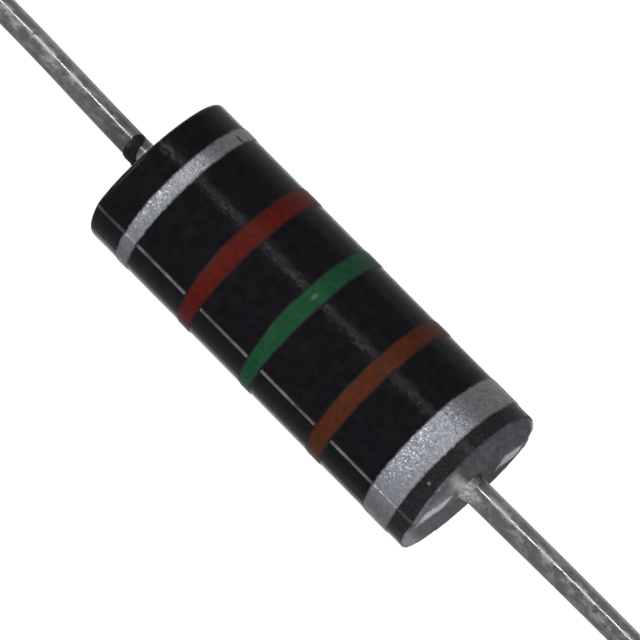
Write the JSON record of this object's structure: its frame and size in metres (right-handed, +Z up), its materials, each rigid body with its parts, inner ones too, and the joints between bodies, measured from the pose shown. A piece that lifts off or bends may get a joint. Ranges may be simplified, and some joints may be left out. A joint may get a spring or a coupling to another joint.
{
  "type": "axial inductor",
  "caption": "Shielded moulded RF choke: a black cylinder with paint bands round it and a straight wire lead out of each end, for through-hole soldering.",
  "frame": {"origin": "middle of the moulded body, on the leads' axis, which is also the middle of the whole part", "axes": "+X along the leads towards the double-width silver band, +Z up; the mould's parting plane holds the X axis and is turned -31.8 degrees about it from level"},
  "size_m": [0.0644, 0.0042, 0.0042],
  "materials": {
    "epoxy_moulding": "satin black epoxy moulding compound, faintly mottled",
    "tinned_wire": "dull hot-tinned copper wire with drawn streaks",
    "ferrite": "ground sintered ferrite, dark grey",
    "magnet_wire": "enamelled copper wire",
    "solder": "bright solder",
    "silver_paint": "aluminium-flake marking paint",
    "red_paint": "marking enamel",
    "green_paint": "marking enamel",
    "brown_paint": "marking enamel"
  },
  "bodies": {
    "root": {"moulded_body": "epoxy_moulding", "lead_left": "tinned_wire", "lead_right": "tinned_wire", "shield_sleeve": "ferrite", "ferrite_core": "ferrite", "winding": "magnet_wire", "solder_joint_left": "solder", "solder_joint_right": "solder", "band_silver_narrow": "silver_paint", "band_red": "red_paint", "band_green": "green_paint", "band_brown": "brown_paint", "band_silver_wide": "silver_paint"}
  },
  "joints": []
}
